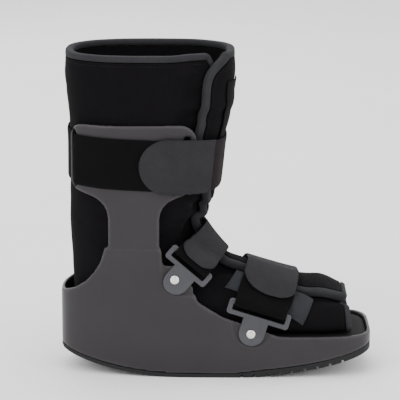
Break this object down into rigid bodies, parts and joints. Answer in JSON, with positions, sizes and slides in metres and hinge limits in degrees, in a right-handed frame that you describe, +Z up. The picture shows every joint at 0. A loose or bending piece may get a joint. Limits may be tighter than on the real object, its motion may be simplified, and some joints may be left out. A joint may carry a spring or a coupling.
{
  "type": "orthopaedic walking boot",
  "caption": "Short walking boot: moulded rocker shell with two uprights, open-toed padded liner and straps round the leg, instep and forefoot.",
  "frame": {"origin": "on the floor, under the middle of the sole", "axes": "+Z up, +X towards the toe, the side where the liner's flap closes is -Y"},
  "size_m": [0.2916, 0.1244, 0.3041],
  "materials": {
    "shell_plastic": "satin",
    "sole_rubber": "matte",
    "bed_foam": "matte",
    "padded_cloth": "matte",
    "binding_tape": "matte",
    "loop_pile": "matte",
    "grey_strap": "matte",
    "hook_patch": "matte",
    "bracket_plastic": "satin",
    "rivet_metal": "polished"
  },
  "bodies": {
    "root": {"shell": "shell_plastic", "outsole": "sole_rubber", "footbed": "bed_foam", "liner": "padded_cloth", "edge_binding": "binding_tape", "leg_hook_strip": "hook_patch", "foot_hook_patch": "hook_patch", "calf_strap": "loop_pile", "calf_tab": "grey_strap", "instep_loop": "loop_pile", "instep_strap": "grey_strap", "forefoot_loop": "loop_pile", "forefoot_strap": "grey_strap", "bracket_rear_near": "bracket_plastic", "bracket_rear_far": "bracket_plastic", "bracket_front_near": "bracket_plastic", "bracket_front_far": "bracket_plastic", "rivet_rear_near": "rivet_metal", "rivet_rear_far": "rivet_metal", "rivet_front_near": "rivet_metal", "rivet_front_far": "rivet_metal"}
  },
  "joints": []
}
